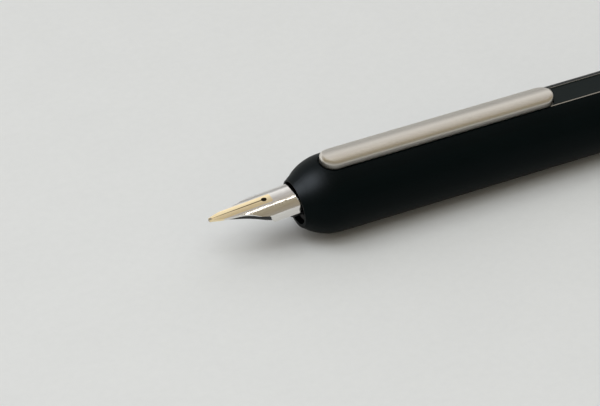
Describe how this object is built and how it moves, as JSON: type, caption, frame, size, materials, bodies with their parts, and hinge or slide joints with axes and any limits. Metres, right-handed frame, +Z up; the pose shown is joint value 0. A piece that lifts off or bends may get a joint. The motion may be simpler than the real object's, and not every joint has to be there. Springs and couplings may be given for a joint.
{
  "type": "capless fountain pen",
  "caption": "Capless fountain pen: a two-tone nib draws into a round-nosed black barrel behind a ball shutter when the rear barrel is twisted; bar clip let into the top.",
  "frame": {"origin": "bottom centre of the whole pen at rest, under the middle of its length and on its lowest line", "axes": "+X along the barrel from nib to tail, +Y across the pen, +Z up through the clip"},
  "size_m": [0.1543, 0.0136, 0.0148],
  "materials": {
    "lacquer": "matte black lacquer",
    "spine": "satin dark grey",
    "trim": "bright bare metal edge",
    "washer": "matte",
    "shutter_metal": "gloss black",
    "steel": "plain",
    "clip_metal": "satin warm palladium",
    "guide_plastic": "matte",
    "cam_brass": "machined",
    "carriage_alloy": "machined",
    "nib_metal": "polished two-tone: rhodium with a gold stripe",
    "tipping_metal": "polished",
    "feed_plastic": "matte",
    "collar_plastic": "gloss",
    "clear_plastic": "clear",
    "converter_chrome": "polished",
    "knob_plastic": "gloss",
    "piston_rubber": "matte"
  },
  "bodies": {
    "front_barrel": {"front_shell": "lacquer", "seam_washer": "washer", "spine_front": "spine", "trim_front": "trim", "shutter_pins": "steel", "clip_pin": "steel", "guide": "guide_plastic", "retaining_ring": "steel"},
    "rear_barrel": {"rear_shell": "lacquer", "tail_cap": "lacquer", "spine_rear": "spine", "trim_rear": "trim", "cam_sleeve": "cam_brass"},
    "nib_unit": {"nib": "nib_metal", "tipping": "tipping_metal", "feed": "feed_plastic", "collar": "collar_plastic", "carriage": "carriage_alloy", "follower_pins": "steel", "converter_tube": "clear_plastic", "converter_sleeve": "converter_chrome", "converter_nut": "collar_plastic"},
    "filler_knob": {"converter_knob": "knob_plastic"},
    "filler_piston": {"piston": "piston_rubber", "piston_rod": "collar_plastic"},
    "shutter": {"shutter": "shutter_metal"},
    "clip_rocker": {"clip_rocker": "steel", "clip_spring": "steel"},
    "clip": {"clip": "clip_metal"}
  },
  "joints": [
    {"name": "barrel_twist", "type": "hinge", "parent": "front_barrel", "child": "rear_barrel", "pos_m": [0.03065, 0, 0.00685], "axis": [1, 0, 0], "range_deg": [0, 180]},
    {"name": "nib_slide", "type": "slide", "parent": "front_barrel", "child": "nib_unit", "axis": [1, 0, 0], "range_m": [0, 0.03]},
    {"name": "shutter_turn", "type": "hinge", "parent": "front_barrel", "child": "shutter", "pos_m": [-0.05545, 0, 0.00685], "axis": [0, 1, 0], "range_deg": [0, 81]},
    {"name": "clip_lift", "type": "hinge", "parent": "front_barrel", "child": "clip_rocker", "pos_m": [-0.01385, 0, 0.01205], "axis": [0, 1, 0], "range_deg": [0, 1.5]},
    {"name": "clip_spring_hinge", "type": "hinge", "parent": "clip_rocker", "child": "clip", "pos_m": [-0.01385, 0, 0.01205], "axis": [0, 1, 0], "range_deg": [0, 3], "stiffness_Nm_per_rad": 0.35, "springref_deg": -2.86},
    {"name": "filler_turn", "type": "hinge", "parent": "nib_unit", "child": "filler_knob", "pos_m": [0.02565, 0, 0.00685], "axis": [1, 0, 0], "range_deg": [0, 2880]},
    {"name": "filler_stroke", "type": "slide", "parent": "nib_unit", "child": "filler_piston", "axis": [1, 0, 0], "range_m": [0, 0.024]}
  ],
  "couplings": [
    {"joint": "nib_slide", "follows": "barrel_twist", "m_per_rad": 0.0095493},
    {"joint": "shutter_turn", "follows": "barrel_twist", "ratio": 0.45},
    {"joint": "clip_lift", "follows": "barrel_twist", "ratio": 0.0083333},
    {"joint": "filler_stroke", "follows": "filler_turn", "m_per_rad": 0.00047746}
  ]
}
